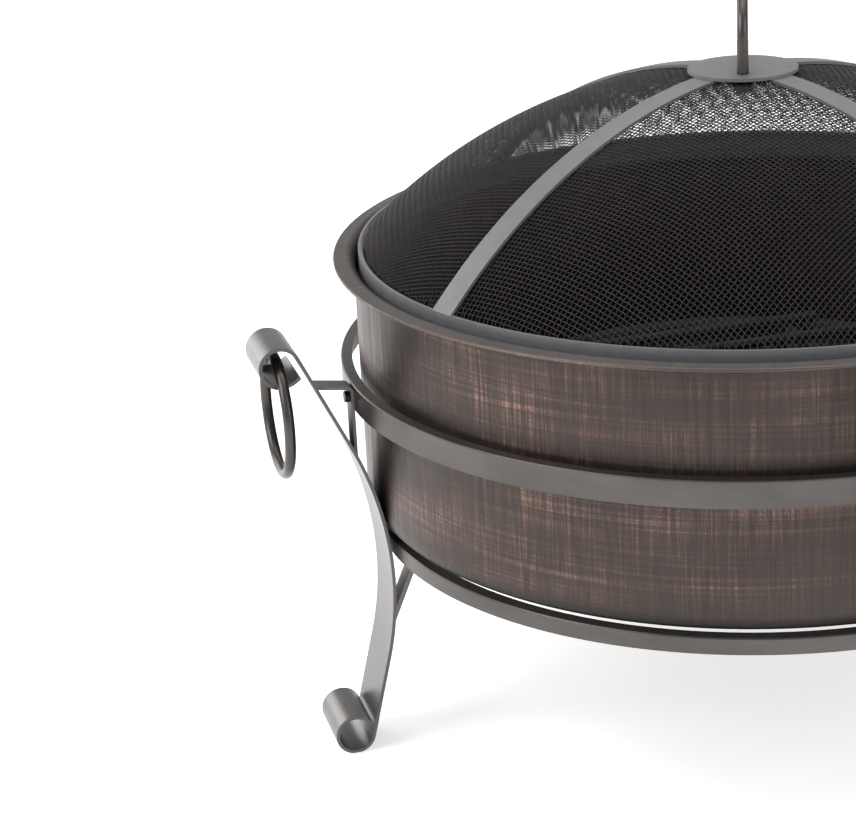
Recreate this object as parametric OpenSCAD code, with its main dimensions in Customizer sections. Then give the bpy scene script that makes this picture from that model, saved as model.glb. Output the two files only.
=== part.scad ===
// Fire pit: round bowl in a four-legged strap stand, log grate inside, domed spark screen on top.
// Origin on the floor under the middle of the bowl. +Z is up. One leg points along each of -X, -Y, +X, +Y.

/* [Bowl] */
// Outside diameter of the bowl wall
bowl_d = 582; // [484:1:699]
// Depth of the bowl from rim to underside
bowl_depth = 194; // [161:1:233]
// Height of the bowl underside above the floor
bowl_lift = 169.2; // [150:1:190]
// Sheet thickness of the bowl
bowl_t = 1.5; // [1.5:0.5:3]
// Outside radius of the bowl's bottom corner
bowl_corner = 17; // [12:1:24]
// How far the rim lip stands out past the bowl wall
lip_out = 15; // [14:0.5:20]

/* [Stand] */
// Height of the leg scroll axis above the floor
scroll_z = 312.5; // [300:0.5:330]
// Width of the leg strap
leg_w = 50.8; // [40:0.2:54]
// Thickness of the leg strap
leg_t = 2.5; // [2:0.5:4]
// Lean of the upper part of a leg, degrees from upright
lean_up = 25.5; // [22:0.5:27]
// Lean of the lower part of a leg, degrees from upright
lean_down = 14; // [9:0.5:17]
// Height of the upper hoop's top face above the floor
hoop_z = 286; // [276:1:294]
// Face height of the upper hoop
hoop_h = 19; // [15:1:24]
// Face height of the lower hoop
low_hoop_h = 12; // [10:1:16]
// Width of the straps that tie the hoops to the legs
tie_w = 16; // [12:1:20]

/* [Ring handles] */
// Rod diameter of a ring handle
ring_rod = 8; // [6:0.5:8]
// Radius of a ring handle at the rod's centre
ring_r = 44; // [42:1:52]

/* [Spark screen] */
// Height of the dome above its hoop
dome_rise = 118; // [98:1:145]
// Height of the screen's hoop strap
screen_hoop_h = 20; // [16:0.5:26]
// Width of the dome's rib straps
rib_w = 19.6; // [14:0.2:26]
// Turn of the ribs from the legs, degrees
rib_turn = 23.4; // [0:0.2:45]
// Height of the lifting loop above the dome
loop_h = 52; // [44:1:70]

/* [Grate] */
// Gap between the middle of the grate's rim rod and the outside of the bowl wall
grate_gap = 66; // [60:1:110]
// Height of the grate's feet
grate_leg = 45; // [35:1:60]
// Number of grate bars
grate_bars_n = 9; // [7:2:11]

/* [Hidden] */
$fn = 96;

// bowl
bowl_r = bowl_d / 2;
rim_z = bowl_lift + bowl_depth;
floor_in = bowl_lift + bowl_t;
lip_r = bowl_r + lip_out;
lip_bead = 1.3;
lip_fall = 10;
flare_r = 6;
flare_mid = [bowl_r + flare_r, rim_z - flare_r - bowl_t];
lip_z = rim_z - bowl_t / 2 - (lip_out - flare_r - lip_bead) * tan(lip_fall);
seat_rod = 3;
seat_z = rim_z - 15;

// stand hoops
angle_t = 3;
mid_r = bowl_r + 14;
mid_flange = 8.5;
low_r = bowl_r - 6;
low_flange = 10;
tab_t = 3.6;
low_z = bowl_lift - tab_t;

// leg curve
waist_r = bowl_r - 2;
waist_z = bowl_lift - 36;
bend_up = 262;
bend_down = 240;
top_bore = 13;
top_tail = 18;
tail_sweep = 46;
foot_bore = 12.8;
foot_sweep = 318;
foot_flat = 0.4;
foot_z = foot_bore + leg_t - foot_flat;
up_end = [waist_r + bend_up * (1 - cos(lean_up)), waist_z + bend_up * sin(lean_up)];
down_end = [waist_r + bend_down * (1 - cos(lean_down)), waist_z - bend_down * sin(lean_down)];
up_run = (scroll_z + top_bore * sin(lean_up) - up_end[1]) / cos(lean_up);
down_run = (down_end[1] + foot_bore * sin(lean_down) - foot_z) / cos(lean_down);
scroll_r = up_end[0] + up_run * sin(lean_up) + top_bore * cos(lean_up);
foot_r = down_end[0] + down_run * sin(lean_down) + foot_bore * cos(lean_down);
leg_turn = [180, 270, 0, 90];

// ring handles
ring_rest = 2;

// ties
tie_t = 2.4;
tie_bend = 5;
tie_rise = 3.4;
tie_reach = leg_face_r(hoop_z + tie_rise - tie_t) - 0.3 * leg_t;
tie_slope = atan(tie_rise / (tie_reach - mid_r - tie_bend));
tie_foot = leg_face_z(mid_r + tie_t + 0.3);
brace_top_r = low_r - 27;
brace_foot_z = bowl_lift - 83;
brace_foot_r = waist_r + bend_down * (1 - cos(asin((waist_z - brace_foot_z) / bend_down))) - leg_t / 2;
brace_dir = [brace_foot_r - brace_top_r, brace_foot_z - low_z] / norm([brace_foot_r - brace_top_r, brace_foot_z - low_z]);
brace_in = [brace_dir[1], -brace_dir[0]];

// fasteners
bolt_r = 2.5;
bolt_z = hoop_z - 10;
head_r = 4.2;
head_h = 3.4;
nut_r = 5;
nut_h = 4.5;
screw_r = 2;
screw_head_r = 3.4;
screw_at = low_r - 6.7;
fit_gap = 0.2;
weld_gap = 0.05;

// spark screen
strap_t = 2.2;
screen_out = bowl_r - bowl_t - 2.4;
screen_in = screen_out - strap_t;
screen_top = seat_z + screen_hoop_h;
dome_r = (screen_out * screen_out + dome_rise * dome_rise) / (2 * dome_rise);
dome_c = screen_top + dome_rise - dome_r;
mesh_t = 1.2;
mesh_r = dome_r - strap_t;
hem_in = sqrt(pow(mesh_r - mesh_t, 2) - pow(screen_top - dome_c, 2));
hem_h = 15;
cap_r = 40;
cap_t = 2.5;
rib_start = 12;
loop_rod = 4;
post_r = loop_rod + 0.2;
loop_x = 27;
loop_arc_z = dome_c + dome_r + loop_h - loop_x;
loop_foot_z = dome_c + sqrt(pow(mesh_r - mesh_t, 2) - pow(loop_x, 2)) - 7;
collar_r = 8;
collar_h = 4;

// grate
grate_r = bowl_r - grate_gap;
rim_rod = 6;
cross_rod = 5;
bar_rod = 4;
foot_rod = 5;
grate_z = floor_in + grate_leg;
bar_z = grate_z + rim_rod + bar_rod - 1;
cross_x = grate_r * 0.49;
cross_y = sqrt(grate_r * grate_r - cross_x * cross_x);
bar_pitch = 2 * grate_r / (grate_bars_n + 1);

// radius of the leg's outer face at height z, above its waist
function leg_face_r(z) = z <= up_end[1]
  ? waist_r + bend_up * (1 - cos(asin((z - waist_z) / bend_up)))
  : up_end[0] + (z - up_end[1]) * tan(lean_up);

// height at which the leg's outer face is at radius r, above its waist
function leg_face_z(r) = r <= up_end[0]
  ? waist_z + bend_up * sin(acos(1 - (r - waist_r) / bend_up))
  : up_end[1] + (r - up_end[0]) / tan(lean_up);

// points along an arc from angle a0 to a1
function arc(c, r, a0, a1, n = 16) =
  [for (i = [0:n]) [c[0] + r * cos(a0 + (a1 - a0) * i / n), c[1] + r * sin(a0 + (a1 - a0) * i / n)]];

// list in the opposite order
function flipped(v) = [for (i = [len(v) - 1:-1:0]) v[i]];

// one face of the leg strap, k outside the strap's outer face
function leg_face(k) = concat(
  arc([scroll_r, scroll_z - top_bore + top_tail], top_tail + k, -90 - tail_sweep, -90.5, 10),
  arc([scroll_r, scroll_z], top_bore + k, -90, 180 - lean_up, 44),
  arc([waist_r + bend_up, waist_z], bend_up + k, 180 - lean_up, 180, 20),
  arc([waist_r + bend_down, waist_z], bend_down + k, 180.5, 180 + lean_down, 12),
  arc([foot_r, foot_z], foot_bore + k, 180 + lean_down, 180 + lean_down + foot_sweep, 48)
);

// a radial-plane outline given the width w across it, turned to angle a
module radial(w, a) {
  rotate([0, 0, a])
    rotate([90, 0, 0])
      linear_extrude(height = w, center = true)
        children();
}

module leg_solid(a) {
  difference() {
    radial(leg_w, a)
      polygon(concat(leg_face(0), flipped(leg_face(leg_t))));
    translate([0, 0, -10])
      cylinder(r = 2 * scroll_r, h = 10);
  }
}

module bolt_axis(a, r) {
  rotate([0, 0, a])
    translate([r, 0, bolt_z])
      rotate([0, 90, 0])
        children();
}

module rod_ring(r, rod) {
  rotate_extrude($fn = 128)
    translate([r, 0])
      circle(r = rod, $fn = 40);
}

module bowl() {
  color("#5a3a28")
    rotate_extrude($fn = 180)
      polygon(concat(
        [[0, bowl_lift]],
        arc([bowl_r - bowl_corner, bowl_lift + bowl_corner], bowl_corner, 270, 360, 14),
        arc(flare_mid, flare_r, 180, 90 - lip_fall, 12),
        arc([lip_r - lip_bead, lip_z], lip_bead, 225, 440, 12),
        arc(flare_mid, flare_r + bowl_t, 90 - lip_fall, 180, 14),
        arc([bowl_r - bowl_corner, bowl_lift + bowl_corner], bowl_corner - bowl_t, 360, 270, 14),
        [[0, floor_in]]
      ));
}

module screen_seat() {
  color("#2c2a28")
    translate([0, 0, seat_z - seat_rod])
      rod_ring(bowl_r - bowl_t - seat_rod - weld_gap, seat_rod);
}

module angle_hoop(r, top, face, flange) {
  rotate_extrude($fn = 180)
    polygon([
      [r, top - 0.8],
      [r, top - face],
      [r - angle_t, top - face],
      [r - angle_t, top - angle_t],
      [r - flange, top - angle_t],
      [r - flange, top],
      [r - 0.8, top]
    ]);
}

module mid_ring() {
  color("#3b3936")
    difference() {
      angle_hoop(mid_r, hoop_z, hoop_h, mid_flange);
      for (a = leg_turn)
        bolt_axis(a, mid_r - 20)
          cylinder(r = bolt_r + fit_gap, h = 40);
    }
}

module lower_ring() {
  color("#3b3936")
    difference() {
      angle_hoop(low_r, low_z, low_hoop_h, low_flange);
      for (a = leg_turn)
        rotate([0, 0, a])
          translate([screw_at, 0, low_z - 10])
            cylinder(r = screw_r + fit_gap, h = 20);
    }
}

module leg(i) {
  color("#55524e")
    leg_solid(leg_turn[i]);
}

module leg_left() { leg(0); }
module leg_front() { leg(1); }
module leg_right() { leg(2); }
module leg_back() { leg(3); }

module upper_tie(i) {
  color("#3b3936")
    difference() {
      radial(tie_w, leg_turn[i])
        polygon(concat(
          [[tie_reach, hoop_z + tie_rise - tie_t], [tie_reach, hoop_z + tie_rise]],
          arc([mid_r + tie_bend, hoop_z - tie_bend], tie_bend, 90 + tie_slope, 180, 8),
          [[mid_r, tie_foot], [mid_r + tie_t, tie_foot]],
          arc([mid_r + tie_bend, hoop_z - tie_bend], tie_bend - tie_t, 180, 90 + tie_slope, 8)
        ));
      leg_solid(leg_turn[i]);
      bolt_axis(leg_turn[i], mid_r - 20)
        cylinder(r = bolt_r + fit_gap, h = 30);
    }
}

module upper_tie_left() { upper_tie(0); }
module upper_tie_front() { upper_tie(1); }
module upper_tie_right() { upper_tie(2); }
module upper_tie_back() { upper_tie(3); }

module lower_tie(i) {
  color("#3b3936")
    difference() {
      radial(tie_w, leg_turn[i])
        polygon([
          [brace_top_r, low_z],
          [brace_foot_r, brace_foot_z],
          [brace_foot_r, brace_foot_z] + tab_t * brace_in,
          [brace_top_r + tab_t * brace_in[0] + (tab_t - tab_t * brace_in[1]) * brace_dir[0] / brace_dir[1], bowl_lift],
          [low_r - 2, bowl_lift],
          [low_r - 2, low_z]
        ]);
      leg_solid(leg_turn[i]);
      rotate([0, 0, leg_turn[i]])
        translate([screw_at, 0, low_z - 1])
          cylinder(r = screw_r, h = tab_t);
    }
}

module lower_tie_left() { lower_tie(0); }
module lower_tie_front() { lower_tie(1); }
module lower_tie_right() { lower_tie(2); }
module lower_tie_back() { lower_tie(3); }

module upper_bolts() {
  color("#262423")
    for (a = leg_turn) {
      bolt_axis(a, mid_r + tie_t)
        cylinder(r = head_r, h = head_h);
      bolt_axis(a, mid_r - angle_t - nut_h - 1)
        cylinder(r = bolt_r, h = angle_t + nut_h + 1 + tie_t);
    }
}

module upper_nuts() {
  color("#262423")
    for (a = leg_turn)
      bolt_axis(a, mid_r - angle_t - nut_h - fit_gap)
        difference() {
          cylinder(r = nut_r, h = nut_h, $fn = 6);
          translate([0, 0, -1])
            cylinder(r = bolt_r, h = nut_h + 2);
        }
}

module lower_screws() {
  color("#262423")
    for (a = leg_turn)
      rotate([0, 0, a])
        translate([screw_at, 0, low_z - angle_t]) {
          cylinder(r = screw_r, h = angle_t + tab_t - 1);
          translate([0, 0, -2.4])
            cylinder(r = screw_head_r, h = 2.4);
        }
}

module handle_ring(side) {
  color("#2c2a28")
    translate([side * scroll_r, 0, scroll_z + ring_rest - ring_r])
      rotate([0, 90, 0])
        rod_ring(ring_r, ring_rod / 2);
}

module handle_ring_left() { handle_ring(-1); }
module handle_ring_right() { handle_ring(1); }

module screen_hoop() {
  color("#5c5b58")
    translate([0, 0, seat_z])
      difference() {
        cylinder(r = screen_out, h = screen_hoop_h, $fn = 180);
        translate([0, 0, -1])
          cylinder(r = screen_in, h = screen_hoop_h + 2, $fn = 180);
      }
}

module dome_shell(r, t) {
  translate([0, 0, dome_c])
    difference() {
      sphere(r = r, $fn = 180);
      sphere(r = r - t, $fn = 180);
    }
}

module screen_rib(i) {
  color("#5c5b58")
    intersection() {
      dome_shell(dome_r, strap_t);
      rotate([0, 0, rib_turn + 90 * i])
        translate([rib_start, -rib_w / 2, screen_top])
          cube([dome_r, rib_w, 2 * dome_rise]);
    }
}

module screen_rib_1() { screen_rib(0); }
module screen_rib_2() { screen_rib(1); }
module screen_rib_3() { screen_rib(2); }
module screen_rib_4() { screen_rib(3); }

module screen_mesh() {
  color("#33312f", 0.6)
    difference() {
      union() {
        intersection() {
          dome_shell(mesh_r, mesh_t);
          translate([0, 0, screen_top])
            cylinder(r = screen_in, h = 2 * dome_rise);
        }
        translate([0, 0, screen_top - hem_h])
          difference() {
            cylinder(r = screen_in, h = hem_h, $fn = 180);
            translate([0, 0, -1])
              cylinder(r = hem_in, h = hem_h + 2, $fn = 180);
          }
      }
      loop_posts(post_r + fit_gap);
    }
}

module screen_cap() {
  color("#5c5b58")
    difference() {
      intersection() {
        dome_shell(dome_r + cap_t, cap_t - weld_gap);
        translate([0, 0, dome_c])
          cylinder(r = cap_r, h = 2 * dome_r);
      }
      loop_posts(post_r + fit_gap);
    }
}

module loop_posts(r) {
  for (x = [-loop_x, loop_x])
    rotate([0, 0, rib_turn + 45])
      translate([x, 0, loop_foot_z])
        cylinder(r = r, h = loop_arc_z - loop_foot_z + 0.5);
}

module screen_loop() {
  color("#2c2a28")
    union() {
      loop_posts(post_r);
      rotate([0, 0, rib_turn + 45])
        translate([0, 0, loop_arc_z])
          rotate([90, 0, 0])
            rotate_extrude(angle = 180, $fn = 96)
              translate([loop_x, 0])
                circle(r = loop_rod, $fn = 40);
    }
}

module screen_nuts() {
  color("#262423")
    for (x = [-loop_x, loop_x])
      difference() {
        rotate([0, 0, rib_turn + 45])
          translate([x, 0, loop_foot_z + 1])
            cylinder(r = collar_r, h = 6 + collar_h, $fn = 6);
        translate([0, 0, dome_c])
          difference() {
            sphere(r = 2 * dome_r, $fn = 60);
            sphere(r = mesh_r - mesh_t, $fn = 180);
          }
        loop_posts(post_r);
      }
}

module grate_rim() {
  color("#3a3532")
    translate([0, 0, grate_z])
      rod_ring(grate_r, rim_rod);
}

module crossbar_rods(r) {
  for (x = [-cross_x, cross_x])
    translate([x, 0, grate_z])
      rotate([90, 0, 0])
        cylinder(r = r, h = 2 * cross_y, center = true, $fn = 40);
}

module grate_crossbars() {
  color("#3a3532")
    difference() {
      crossbar_rods(cross_rod);
      translate([0, 0, grate_z])
        rod_ring(grate_r, rim_rod + weld_gap);
    }
}

module grate_bars() {
  color("#3a3532")
    difference() {
      for (i = [1:grate_bars_n]) {
        y = -grate_r + i * bar_pitch;
        translate([0, y, bar_z])
          rotate([0, 90, 0])
            cylinder(r = bar_rod, h = 2 * sqrt(grate_r * grate_r - y * y), center = true, $fn = 40);
      }
      translate([0, 0, grate_z])
        rod_ring(grate_r, rim_rod + weld_gap);
    }
}

module grate_feet() {
  color("#3a3532")
    difference() {
      for (x = [-cross_x, cross_x])
        for (y = [-cross_y, cross_y])
          translate([x, y, floor_in])
            cylinder(r = foot_rod, h = grate_leg, $fn = 40);
      translate([0, 0, grate_z])
        rod_ring(grate_r, rim_rod + weld_gap);
      crossbar_rods(cross_rod + weld_gap);
    }
}

bowl();
screen_seat();
mid_ring();
lower_ring();
leg_left();
leg_front();
leg_right();
leg_back();
upper_tie_left();
upper_tie_front();
upper_tie_right();
upper_tie_back();
lower_tie_left();
lower_tie_front();
lower_tie_right();
lower_tie_back();
upper_bolts();
upper_nuts();
lower_screws();
handle_ring_left();
handle_ring_right();
screen_hoop();
screen_rib_1();
screen_rib_2();
screen_rib_3();
screen_rib_4();
screen_mesh();
screen_cap();
screen_loop();
screen_nuts();
grate_rim();
grate_crossbars();
grate_bars();
grate_feet();
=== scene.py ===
import math

import bpy
from mathutils import Matrix, Vector


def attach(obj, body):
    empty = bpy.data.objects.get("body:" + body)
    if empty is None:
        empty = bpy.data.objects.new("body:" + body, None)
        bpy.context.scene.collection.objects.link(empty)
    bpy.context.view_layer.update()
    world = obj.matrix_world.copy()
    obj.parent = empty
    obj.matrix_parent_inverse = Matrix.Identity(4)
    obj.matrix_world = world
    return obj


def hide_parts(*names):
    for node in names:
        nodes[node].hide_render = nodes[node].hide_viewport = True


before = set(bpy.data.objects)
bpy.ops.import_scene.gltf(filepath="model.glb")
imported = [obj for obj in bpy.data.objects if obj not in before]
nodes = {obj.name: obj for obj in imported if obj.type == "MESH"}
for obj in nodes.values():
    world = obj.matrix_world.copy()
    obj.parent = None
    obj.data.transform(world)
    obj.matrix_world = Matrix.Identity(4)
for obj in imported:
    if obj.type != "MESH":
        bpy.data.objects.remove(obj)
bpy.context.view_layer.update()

LEGS = ("left", "front", "right", "back")

# sizes repeated from the part source, in metres
BOWL_R = 0.291
FLARE_R = 0.297
FLARE_Z = 0.3557
SEAT_Z = 0.3482
SCREEN_TOP = 0.3682
SCREEN_IN = 0.2849
DOME_RISE = 0.118
STRAP_T = 0.0022
LEG_HALF_W = 0.0254
SCREEN_OUT = SCREEN_IN + STRAP_T
DOME_R = (SCREEN_OUT**2 + DOME_RISE**2) / (2 * DOME_RISE)
DOME_C = SCREEN_TOP + DOME_RISE - DOME_R
MESH_R = DOME_R - STRAP_T

# the woven cloth: spacing and radius of the wires, sides of a wire's section, turn of the rows from +X
WIRE_PITCH = 0.0036
WIRE_R = 0.00045
WIRE_SIDES = 3
WIRE_TURN = math.radians(-60)

# the camera: lens in mm, direction and distance of its place, and where it looks from there
LENS = 101.1
AZ, EL, DIST = math.radians(-21.6), math.radians(18.59), 1.83
AIM_Z = 0.2862
YAW, PITCH, ROLL = math.radians(8.02), math.radians(1.80), math.radians(-3.20)

FLOOR_HALF = 30
FLOOR_Z = -0.0006


# ---------------------------------------------------------------- materials
class Nodes:
    """Small helper for building a node tree."""

    def __init__(self, name):
        self.mat = bpy.data.materials.new(name)
        self.mat.use_nodes = True
        self.tree = self.mat.node_tree
        self.tree.nodes.clear()
        self.out = self.tree.nodes.new("ShaderNodeOutputMaterial")
        self.bsdf = self.tree.nodes.new("ShaderNodeBsdfPrincipled")
        self.link(self.bsdf.outputs[0], self.out.inputs["Surface"])

    def link(self, a, b):
        self.tree.links.new(a, b)

    def node(self, kind, **inputs):
        n = self.tree.nodes.new(kind)
        for k, v in inputs.items():
            self.put(n, k, v)
        return n

    def put(self, n, key, value):
        """Set or link an input. The key is i and a number, or the input's name with _ for a space."""
        if key[0] == "i" and key[1:].isdigit():
            sock = n.inputs[int(key[1:])]
        else:
            sock = n.inputs[key.replace("_", " ")]
        if isinstance(value, bpy.types.NodeSocket):
            self.link(value, sock)
        else:
            sock.default_value = value

    def coords(self):
        n = self.tree.nodes.new("ShaderNodeTexCoord")
        return n.outputs["Object"]

    def maths(self, op, a, b=0.0, clamp=False):
        n = self.tree.nodes.new("ShaderNodeMath")
        n.operation = op
        n.use_clamp = clamp
        self.put(n, "i0", a)
        self.put(n, "i1", b)
        return n.outputs[0]

    def add(self, a, b):
        return self.maths("ADD", a, b)

    def times(self, a, b, clamp=False):
        return self.maths("MULTIPLY", a, b, clamp)

    def length(self, a, b):
        return self.maths("SQRT", self.add(self.times(a, a), self.times(b, b)))

    def split(self, v):
        n = self.node("ShaderNodeSeparateXYZ", Vector=v)
        return n.outputs

    def join(self, x, y, z):
        n = self.node("ShaderNodeCombineXYZ", X=x, Y=y, Z=z)
        return n.outputs[0]

    def scaled(self, v, scale):
        n = self.tree.nodes.new("ShaderNodeMapping")
        self.link(v, n.inputs["Vector"])
        n.inputs["Scale"].default_value = scale
        return n.outputs[0]

    def noise(self, v, scale, detail=3.0, rough=0.55, distortion=0.0):
        n = self.node("ShaderNodeTexNoise", Vector=v, Scale=scale, Detail=detail, Roughness=rough)
        n.inputs["Distortion"].default_value = distortion
        return n.outputs[0]

    def ramp(self, fac, stops):
        n = self.tree.nodes.new("ShaderNodeValToRGB")
        self.link(fac, n.inputs[0])
        el = n.color_ramp.elements
        while len(el) > len(stops):
            el.remove(el[-1])
        while len(el) < len(stops):
            el.new(1.0)
        for e, (pos, col) in zip(el, stops):
            e.position = pos
            e.color = (*col, 1) if isinstance(col, tuple) else (col, col, col, 1)
        return n.outputs[0]

    def step(self, fac, start, full):
        """0 up to start, 1 from full on."""
        return self.ramp(fac, [(start, 0.0), (full, 1.0)])

    def mix(self, fac, a, b):
        n = self.tree.nodes.new("ShaderNodeMix")
        n.data_type = "RGBA"
        self.put(n, "i0", fac)
        for sock, v in ((n.inputs[6], a), (n.inputs[7], b)):
            if isinstance(v, bpy.types.NodeSocket):
                self.link(v, sock)
            else:
                sock.default_value = (*v, 1)
        return n.outputs[2]

    def bump(self, height, strength, distance):
        n = self.node("ShaderNodeBump", Height=height)
        n.inputs["Strength"].default_value = strength
        n.inputs["Distance"].default_value = distance
        self.link(n.outputs[0], self.bsdf.inputs["Normal"])

    def set(self, **values):
        for k, v in values.items():
            self.put(self.bsdf, k, v)


def around(m, v, radius):
    """Object coordinates unrolled round +Z: arc length, distance from the axis, height."""
    s = m.split(v)
    angle = m.maths("ARCTAN2", s[1], s[0])
    return m.times(angle, radius), m.length(s[0], s[1]), s[2]


def strokes(m, arc, z, shift, fine, wide, low, high):
    """Straight brush strokes. fine and wide hold the scales round the bowl and along its height."""
    flat = m.join(m.add(arc, shift) if shift else arc, 0.0, z)
    lines = m.step(m.noise(m.scaled(flat, (fine[0], 1, fine[1])), 1.0, 1.0, 0.5), low, high)
    bands = m.noise(m.scaled(flat, (wide[0], 1, wide[1])), 1.0, 2.0, 0.5)
    return m.times(lines, m.ramp(bands, [(0.38, 0.12), (0.6, 1.0)]))


def copper(m, v, arc, z):
    """How much of the bowl's wall shows coppery strokes, which cross each other."""
    up = strokes(m, arc, z, 0, (430, 14), (60, 9), 0.46, 0.68)
    up2 = strokes(m, arc, z, 3.7, (860, 30), (25, 12), 0.48, 0.7)
    level = strokes(m, arc, z, 0, (5, 330), (3, 70), 0.47, 0.66)
    level2 = strokes(m, arc, z, 1.9, (7, 760), (6, 40), 0.5, 0.72)
    upright = m.add(m.times(up, 0.6), m.times(up2, 0.45))
    lying = m.add(m.times(level, 0.5), m.times(level2, 0.4))
    crossed = m.times(upright, lying)
    lines = m.add(m.add(m.times(upright, 0.55), m.times(lying, 0.4)), m.times(crossed, 2.2))
    flat = m.join(arc, 0.0, z)
    patches = m.noise(m.scaled(flat, (4.5, 1, 15)), 1.0, 2.0, 0.5, 0.3)
    patches = m.ramp(patches, [(0.38, 0.2), (0.58, 1.0)])
    grain = m.ramp(m.noise(v, 1100.0, 2.0, 0.7), [(0.36, 0.15), (0.58, 1.0)])
    lines = m.times(m.times(lines, patches), grain, clamp=True)
    # most of the copper shows on the wall, little near the bottom corner
    return m.times(lines, m.step(z, 0.178, 0.206))


def bronze():
    """Dark bronze with coppery brush strokes that cross each other."""
    m = Nodes("bowl_bronze")
    v = m.coords()
    arc, rad, z = around(m, v, BOWL_R)
    flat = m.join(arc, 0.0, z)
    lines = copper(m, v, arc, z)
    tone = m.noise(m.scaled(flat, (4, 1, 12)), 1.0, 3.0, 0.6)
    base = m.ramp(tone, [(0.3, (0.068, 0.056, 0.051)), (0.7, (0.1, 0.08, 0.072))])
    col = m.mix(m.times(lines, 0.88), base, (0.62, 0.35, 0.28))
    # the flange: a plain grey brown, with a painted highlight, a thin bright copper line, along its lower edge
    flange = m.times(m.step(rad, 0.2945, 0.2965), m.step(z, 0.3595, 0.3605))
    flange_tone = m.ramp(tone, [(0.3, (0.105, 0.094, 0.088)), (0.7, (0.13, 0.117, 0.109))])
    col = m.mix(flange, col, flange_tone)
    # painted highlight: a thin bright copper line on the lower outer part of the flange's bead, broken up by
    # noise
    edge = m.ramp(z, [(0.3597, 0.0), (0.3599, 1.0), (0.361, 1.0), (0.3614, 0.0)])
    painted_highlight = m.times(m.step(rad, 0.3044, 0.3049), edge)
    highlight_breakup = m.noise(m.scaled(flat, (22, 1, 200)), 1.0, 2.0)
    painted_highlight = m.times(painted_highlight, m.ramp(highlight_breakup, [(0.33, 0.4), (0.55, 1.0)]))
    col = m.mix(painted_highlight, col, (0.95, 0.7, 0.58))
    # nearly black inside the bowl, and painted shade on the inside of its flare, where the surface turns
    # inward away from the light
    inside = m.times(m.ramp(rad, [(0.2897, 1.0), (0.28995, 0.0)]), m.step(z, 0.1698, 0.1702))
    out, up = m.maths("SUBTRACT", rad, FLARE_R), m.maths("SUBTRACT", z, FLARE_Z)
    # painted shade on the inward-turning surface of the flare
    throat_shade = m.times(m.step(m.length(out, up), 0.0066, 0.007), m.ramp(rad, [(0.2935, 1.0), (0.2962, 0.0)]))
    throat_shade = m.times(throat_shade, m.step(z, 0.355, 0.3557))
    col = m.mix(m.times(m.maths("MAXIMUM", inside, throat_shade), 0.88), col, (0.016, 0.015, 0.014))
    rough = m.ramp(m.noise(m.scaled(flat, (220, 1, 10)), 1.0, 2.0), [(0.2, 0.3), (0.8, 0.56)])
    m.set(Base_Color=col, Metallic=0.85, Roughness=rough)
    m.bump(lines, 0.1, 0.0003)
    return m.mat


def coat(name, low, high, metallic, rough, streak=(90, 90, 90), bump=0.05, rust=0.0, edge=None):
    """Powder-coat metal: slow tone changes, fine grain and a little wear.

    edge is the half width of a strap whose cut edges are darker.
    """
    m = Nodes(name)
    v = m.coords()
    tone = m.noise(m.scaled(v, streak), 1.0, 3.0, 0.6)
    col = m.ramp(tone, [(0.3, low), (0.7, high)])
    if rust:
        spots = m.step(m.noise(v, 38.0, 4.0, 0.65), 0.56, 0.72)
        col = m.mix(m.times(spots, rust), col, (0.2, 0.105, 0.075))
    if edge:
        s = m.split(v)
        off = m.maths("MINIMUM", m.maths("ABSOLUTE", s[0]), m.maths("ABSOLUTE", s[1]))
        col = m.mix(m.step(off, edge - 0.0007, edge - 0.0003), col, (0.03, 0.027, 0.026))
    fine = m.noise(v, 700.0, 2.0, 0.6)
    r = m.ramp(fine, [(0.25, rough - 0.05), (0.75, rough + 0.05)])
    m.set(Base_Color=col, Metallic=metallic, Roughness=r)
    m.bump(fine, bump, 0.0002)
    return m.mat


MAT = {
    "bowl": bronze(),
    "seat": coat("seat_metal", (0.03, 0.027, 0.026), (0.045, 0.04, 0.038), 0.6, 0.5),
    "hoops": coat(
        "stand_metal", (0.08, 0.073, 0.069), (0.112, 0.102, 0.096), 0.75, 0.36, streak=(14, 14, 40), rust=0.12
    ),
    "leg": coat(
        "leg_metal", (0.15, 0.144, 0.139), (0.19, 0.182, 0.176), 0.8, 0.33, streak=(20, 20, 6), edge=LEG_HALF_W
    ),
    "tie": coat("tie_metal", (0.14, 0.134, 0.13), (0.18, 0.172, 0.166), 0.7, 0.42, streak=(30, 30, 12)),
    "bolt": coat("fastener_black", (0.012, 0.011, 0.011), (0.022, 0.02, 0.019), 0.5, 0.38),
    "ring": coat("handle_metal", (0.062, 0.056, 0.053), (0.08, 0.073, 0.069), 0.8, 0.3, streak=(30, 30, 30)),
    "strap": coat("screen_metal", (0.165, 0.167, 0.175), (0.19, 0.192, 0.2), 0.4, 0.45, bump=0.08),
    "wire": coat("screen_wire", (0.03, 0.027, 0.026), (0.048, 0.042, 0.04), 0.4, 0.5),
    "grate": coat("grate_steel", (0.012, 0.011, 0.01), (0.022, 0.019, 0.018), 0.3, 0.7, rust=0.12, bump=0.3),
}
PAINT = {
    "bowl": ("bowl",),
    "seat": ("screen_seat",),
    "hoops": ("mid_ring", "lower_ring"),
    "leg": tuple("leg_" + n for n in LEGS),
    "tie": tuple(f"{k}_tie_{n}" for n in LEGS for k in ("upper", "lower")),
    "bolt": ("upper_bolts", "upper_nuts", "lower_screws", "screen_nuts"),
    "ring": ("handle_ring_left", "handle_ring_right", "screen_loop"),
    "strap": ("screen_hoop", "screen_cap", "screen_rib_1", "screen_rib_2", "screen_rib_3", "screen_rib_4"),
    "grate": ("grate_rim", "grate_crossbars", "grate_bars", "grate_feet"),
}
for key, names in PAINT.items():
    for n in names:
        nodes[n].data.materials.clear()
        nodes[n].data.materials.append(MAT[key])


def soften(obj, width):
    """Broken edges, so that they catch the light."""
    b = obj.modifiers.new("edge", "BEVEL")
    b.width = width
    b.segments = 2
    b.limit_method = "ANGLE"
    b.angle_limit = math.radians(50)
    b.use_clamp_overlap = True


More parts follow.
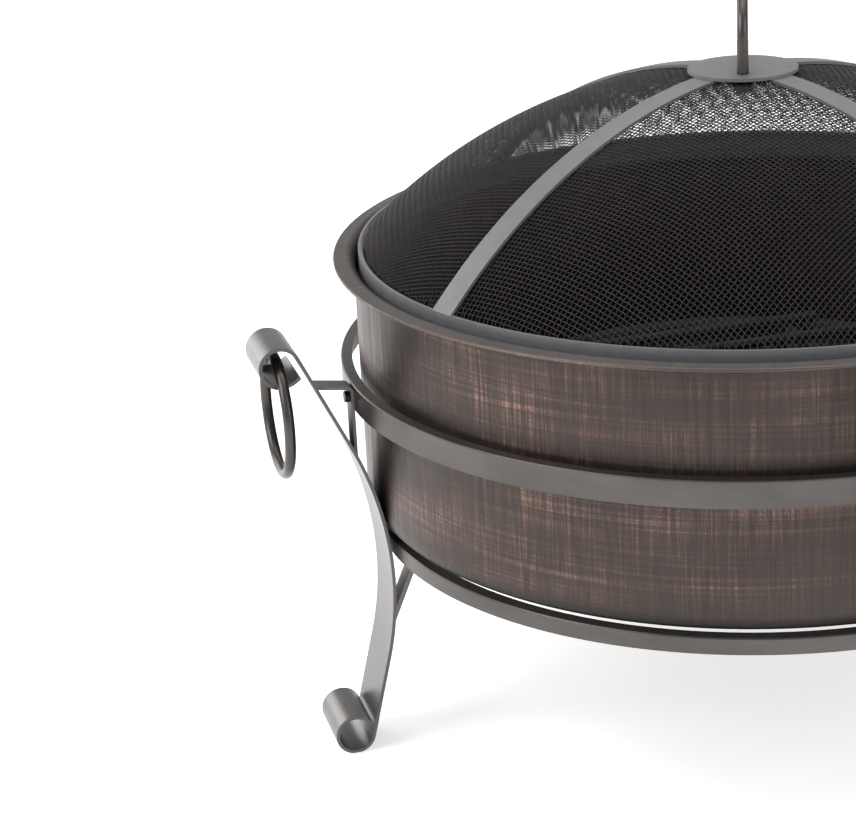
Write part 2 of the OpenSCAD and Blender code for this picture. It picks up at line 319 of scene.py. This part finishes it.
# ---------------------------------------------------------------- woven wire
def make(name, verts, faces, mat, smooth=True):
    me = bpy.data.meshes.new(name)
    me.from_pydata(verts, [], faces)
    me.update()
    if smooth:
        me.polygons.foreach_set("use_smooth", [True] * len(me.polygons))
    me.materials.append(mat)
    ob = bpy.data.objects.new(name, me)
    bpy.context.scene.collection.objects.link(ob)
    return ob


def tube(points, verts, faces, spin):
    """Add one wire, given as (place, outward direction) along its length."""
    first = len(verts)
    last = len(points) - 1
    for k, (p, up) in enumerate(points):
        along = (points[min(k + 1, last)][0] - points[max(k - 1, 0)][0]).normalized()
        s = along.cross(up).normalized()
        u = s.cross(along)
        for q in range(WIRE_SIDES):
            c = 2 * math.pi * q / WIRE_SIDES
            verts.append(spin @ (p + (u * math.cos(c) + s * math.sin(c)) * WIRE_R))
    for k in range(last):
        a = first + k * WIRE_SIDES
        b = a + WIRE_SIDES
        for q in range(WIRE_SIDES):
            n = (q + 1) % WIRE_SIDES
            faces.append((a + q, a + n, b + n, b + q))


def woven_dome():
    """Square wire cloth formed over the dome: two sets of wires that pass over and under each other."""
    spin = Matrix.Rotation(WIRE_TURN, 3, "Z")
    sets = []
    lift = WIRE_R * 1.05
    r_mid = MESH_R - 2.2 * WIRE_R
    r_edge = SCREEN_IN - 2.5 * WIRE_R
    reach = int(r_mid * math.asin(r_edge / r_mid) / WIRE_PITCH) + 2

    def plane(i):
        return r_mid * math.sin(min(abs(i) * WIRE_PITCH / r_mid, 1.5)) * (1 if i >= 0 else -1)

    def surface(x, y):
        return DOME_C + math.sqrt(max(r_mid * r_mid - x * x - y * y, 0.0))

    for along in (0, 1):
        verts, faces = [], []
        for i in range(-reach, reach + 1):
            a = plane(i)
            pts = []
            for j in range(-reach, reach + 1):
                b = plane(j)
                x, y = (b, a) if along == 0 else (a, b)
                if math.hypot(x, y) > r_edge - 0.001:
                    continue
                up = Vector((x, y, surface(x, y) - DOME_C)).normalized()
                side = 1 if (i + j + along) % 2 else -1
                pts.append((Vector((x, y, surface(x, y))) + up * side * lift, up))
            if len(pts) < 2:
                continue
            # both ends run down a little inside the hem
            ends = []
            for k in (0, -1):
                p = pts[k][0]
                out = Vector((p.x, p.y, 0)).normalized()
                ends.append((Vector((out.x * r_edge, out.y * r_edge, SCREEN_TOP - 0.004)), out))
            tube([ends[0], *pts, ends[1]], verts, faces, spin)
        sets.append(make(f"screen_wires_{along + 1}", verts, faces, MAT["wire"]))
    return sets


def band(name, profile, mat, steps=180):
    """A closed profile (radius, height) turned round +Z."""
    verts, faces = [], []
    n = len(profile)
    for i in range(steps):
        a = 2 * math.pi * i / steps
        verts += [(r * math.cos(a), r * math.sin(a), z) for r, z in profile]
    for i in range(steps):
        j = (i + 1) % steps
        for k in range(n):
            m = (k + 1) % n
            faces.append((i * n + k, j * n + k, j * n + m, i * n + m))
    return make(name, verts, faces, mat, smooth=False)


for wires in woven_dome():
    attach(wires, "screen")
    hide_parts("screen_mesh")
hem_in, hem_out = SCREEN_IN - 0.0012, SCREEN_IN - 0.0001
hem_low, hem_top = SEAT_Z + 0.005, SCREEN_TOP - 0.001
hem = band(
    "screen_hem",
    [(hem_in, hem_low), (hem_out, hem_low), (hem_out, hem_top), (hem_in, hem_top)],
    MAT["strap"],
)
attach(hem, "screen")

for n in (*PAINT["leg"], *PAINT["tie"], "screen_hoop", "screen_cap", "mid_ring", "lower_ring"):
    soften(nodes[n], 0.0005)
for n in ("upper_bolts", "upper_nuts", "screen_nuts"):
    soften(nodes[n], 0.0006)


# ---------------------------------------------------------------- floor, lights, camera
def plain(name, colour, rough, glow):
    m = Nodes(name)
    m.set(Base_Color=(*colour, 1), Roughness=rough, Emission_Color=(1, 1, 1, 1), Emission_Strength=glow)
    return m.mat


floor = make(
    "floor",
    [(FLOOR_HALF * x, FLOOR_HALF * y, FLOOR_Z) for x, y in ((-1, -1), (1, -1), (1, 1), (-1, 1))],
    [(0, 1, 2, 3)],
    plain("floor", (0.88, 0.88, 0.875), 0.8, 0.56),
    smooth=False,
)


def softbox(name, at, aim, size, power):
    light = bpy.data.lights.new(name, "AREA")
    light.shape = "RECTANGLE"
    light.size, light.size_y = size
    light.energy = power
    ob = bpy.data.objects.new(name, light)
    bpy.context.scene.collection.objects.link(ob)
    ob.location = at
    ob.rotation_euler = (Vector(aim) - Vector(at)).to_track_quat("-Z", "Y").to_euler()


def seen(right, back, up):
    """A point given from the camera's side: right, away from the viewer, and up."""
    return (right * math.cos(AZ) - back * math.sin(AZ), right * math.sin(AZ) + back * math.cos(AZ), up)


softbox("key", seen(-2.6, -1.4, 2.2), (0, 0, 0.25), (2.0, 2.4), 62)
softbox("fill", seen(2.6, -1.6, 1.6), (0, 0, 0.25), (2.0, 2.0), 26)
softbox("top", seen(0.2, 0.6, 3.0), (0, 0, 0.2), (3.0, 3.0), 48)
softbox("back_left", seen(-2.6, 1.6, 1.2), (0, 0, 0.25), (1.6, 2.2), 30)

# a white studio that lights the part less than it shows behind it
world = bpy.data.worlds.new("studio")
bpy.context.scene.world = world
world.use_nodes = True
wt = world.node_tree
wt.nodes.clear()
wo = wt.nodes.new("ShaderNodeOutputWorld")
mixw = wt.nodes.new("ShaderNodeMixShader")
path = wt.nodes.new("ShaderNodeLightPath")
lit = wt.nodes.new("ShaderNodeBackground")
lit.inputs[0].default_value = (1, 1, 1, 1)
lit.inputs[1].default_value = 0.55
shown = wt.nodes.new("ShaderNodeBackground")
shown.inputs[0].default_value = (1, 1, 1, 1)
shown.inputs[1].default_value = 1.0
wt.links.new(path.outputs["Is Camera Ray"], mixw.inputs[0])
wt.links.new(lit.outputs[0], mixw.inputs[1])
wt.links.new(shown.outputs[0], mixw.inputs[2])
wt.links.new(mixw.outputs[0], wo.inputs["Surface"])

cam_data = bpy.data.cameras.new("camera")
cam = bpy.data.objects.new("camera", cam_data)
bpy.context.scene.collection.objects.link(cam)
bpy.context.scene.camera = cam
cam_data.sensor_width = 36
cam_data.lens = LENS
cam_data.clip_start, cam_data.clip_end = 0.05, 100
place = Vector((math.sin(AZ) * math.cos(EL), -math.cos(AZ) * math.cos(EL), math.sin(EL))) * DIST
place += Vector((0, 0, AIM_Z))
ya, pe = AZ + YAW, EL + PITCH
look = Vector((-math.sin(ya) * math.cos(pe), math.cos(ya) * math.cos(pe), -math.sin(pe)))
right = look.cross(Vector((0, 0, 1))).normalized()
upward = right.cross(look)
c, s = math.cos(ROLL), math.sin(ROLL)
right, upward = right * c + upward * s, upward * c - right * s
turn = Matrix((right, upward, -look)).transposed()
cam.matrix_world = Matrix.Translation(place) @ turn.to_4x4()

bpy.context.scene.view_settings.view_transform = "Standard"
bpy.context.scene.view_settings.look = "None"
